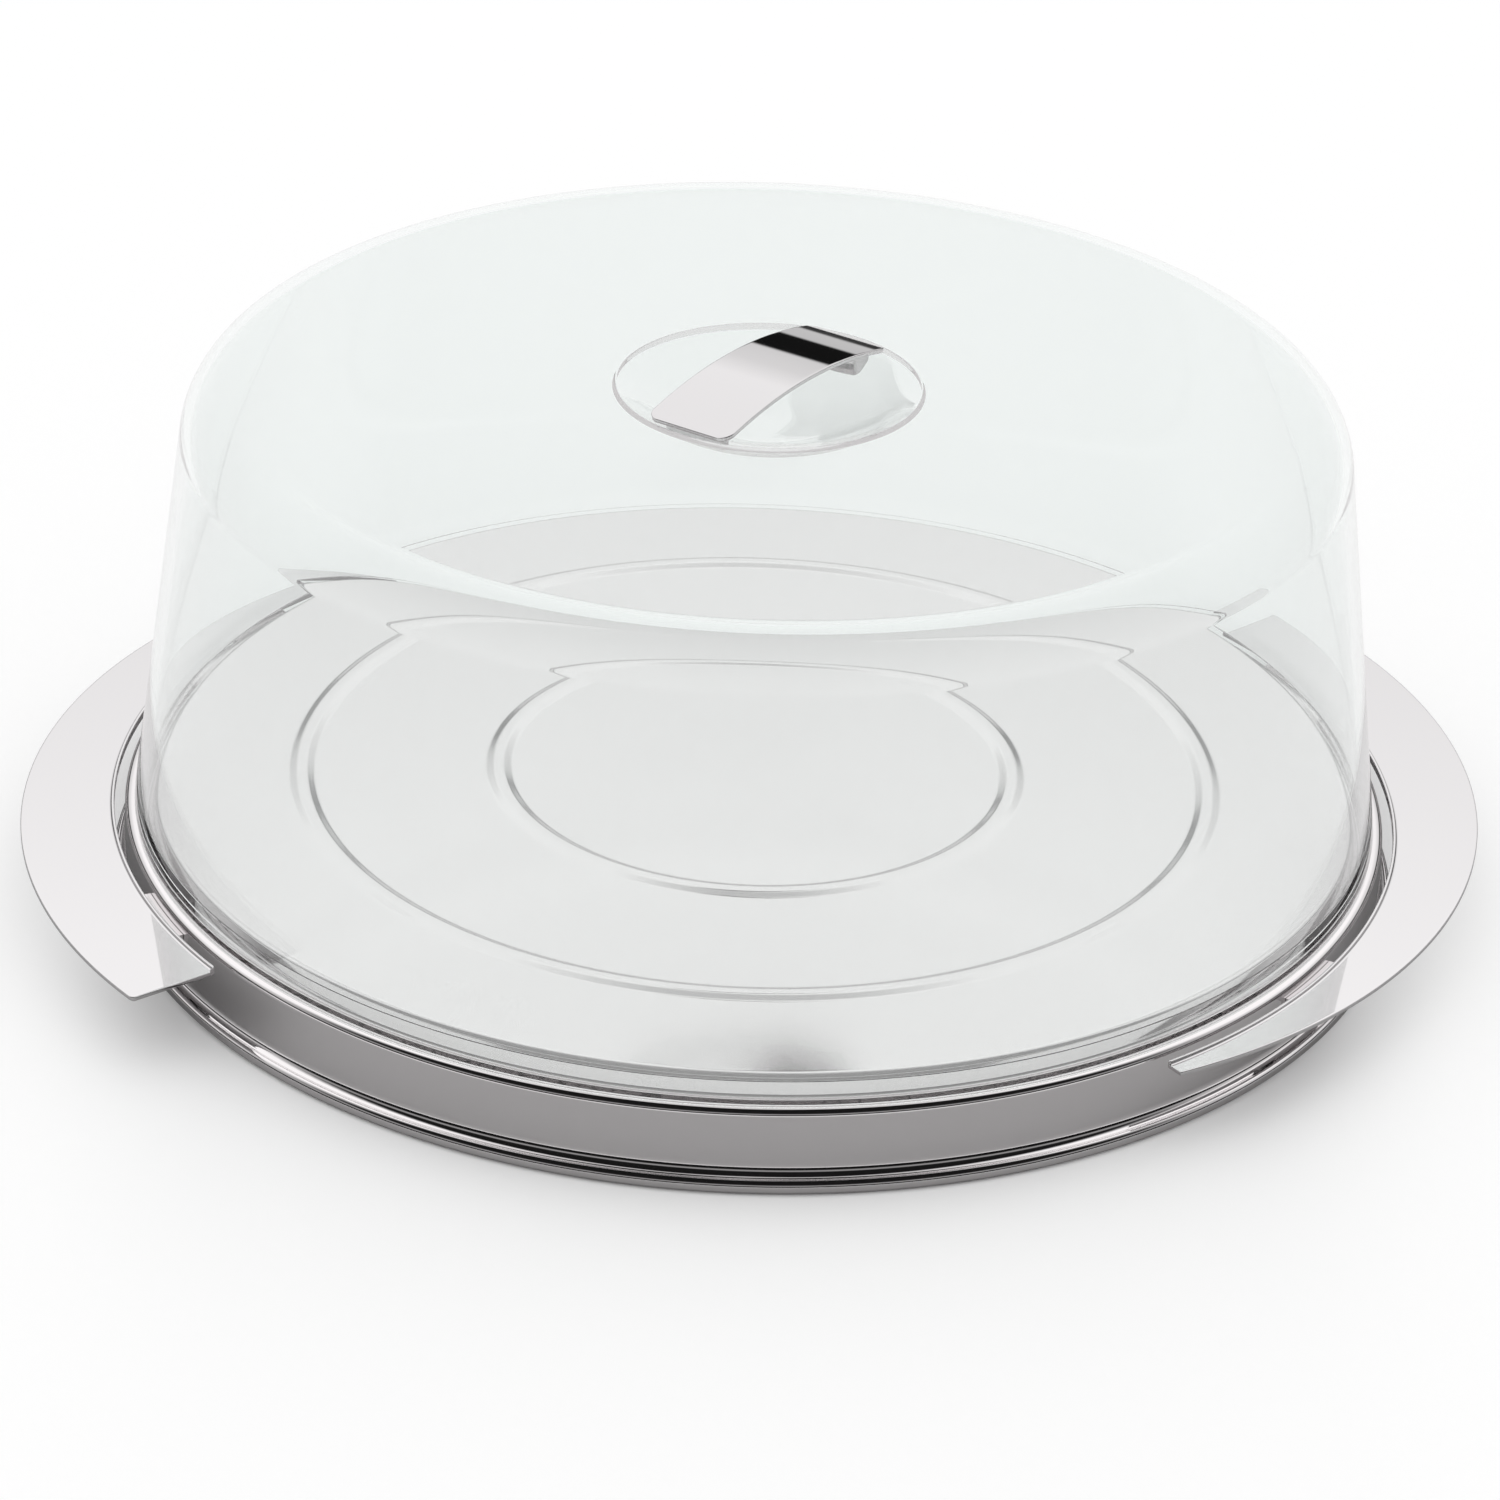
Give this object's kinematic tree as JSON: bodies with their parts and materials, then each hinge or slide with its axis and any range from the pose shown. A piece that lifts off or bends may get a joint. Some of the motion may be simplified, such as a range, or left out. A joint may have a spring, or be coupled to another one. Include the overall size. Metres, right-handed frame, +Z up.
{
  "type": "cake stand with dome",
  "caption": "Round low steel cake tray with flat side handles and a clear lift-off dome that has a bowed steel grip over a finger well.",
  "frame": {"origin": "middle of the round foot, on the table surface", "axes": "+Z up; the handles reach out along -X and +X; the viewer stands on the -Y side"},
  "size_m": [0.3738, 0.33, 0.1393],
  "materials": {
    "tray_steel": "polished stainless steel with a fine spun grain",
    "handle_steel": "mirror-polished stainless steel sheet",
    "grip_steel": "mirror-polished stainless steel strip",
    "clear_plastic": "clear moulded plastic, faint grey-green"
  },
  "bodies": {
    "base": {"tray_base": "tray_steel", "left_handle": "handle_steel", "right_handle": "handle_steel", "right_tip_bracket": "tray_steel", "right_wide_bracket": "tray_steel", "left_tip_bracket": "tray_steel", "left_wide_bracket": "tray_steel"},
    "dome": {"dome_shell": "clear_plastic", "grip_strap": "grip_steel", "grip_foot_front": "grip_steel", "grip_foot_rear": "grip_steel"}
  },
  "joints": [
    {"name": "dome_lift", "type": "slide", "parent": "base", "child": "dome", "axis": [0, 0, 1], "range_m": [0, 0.16]}
  ]
}
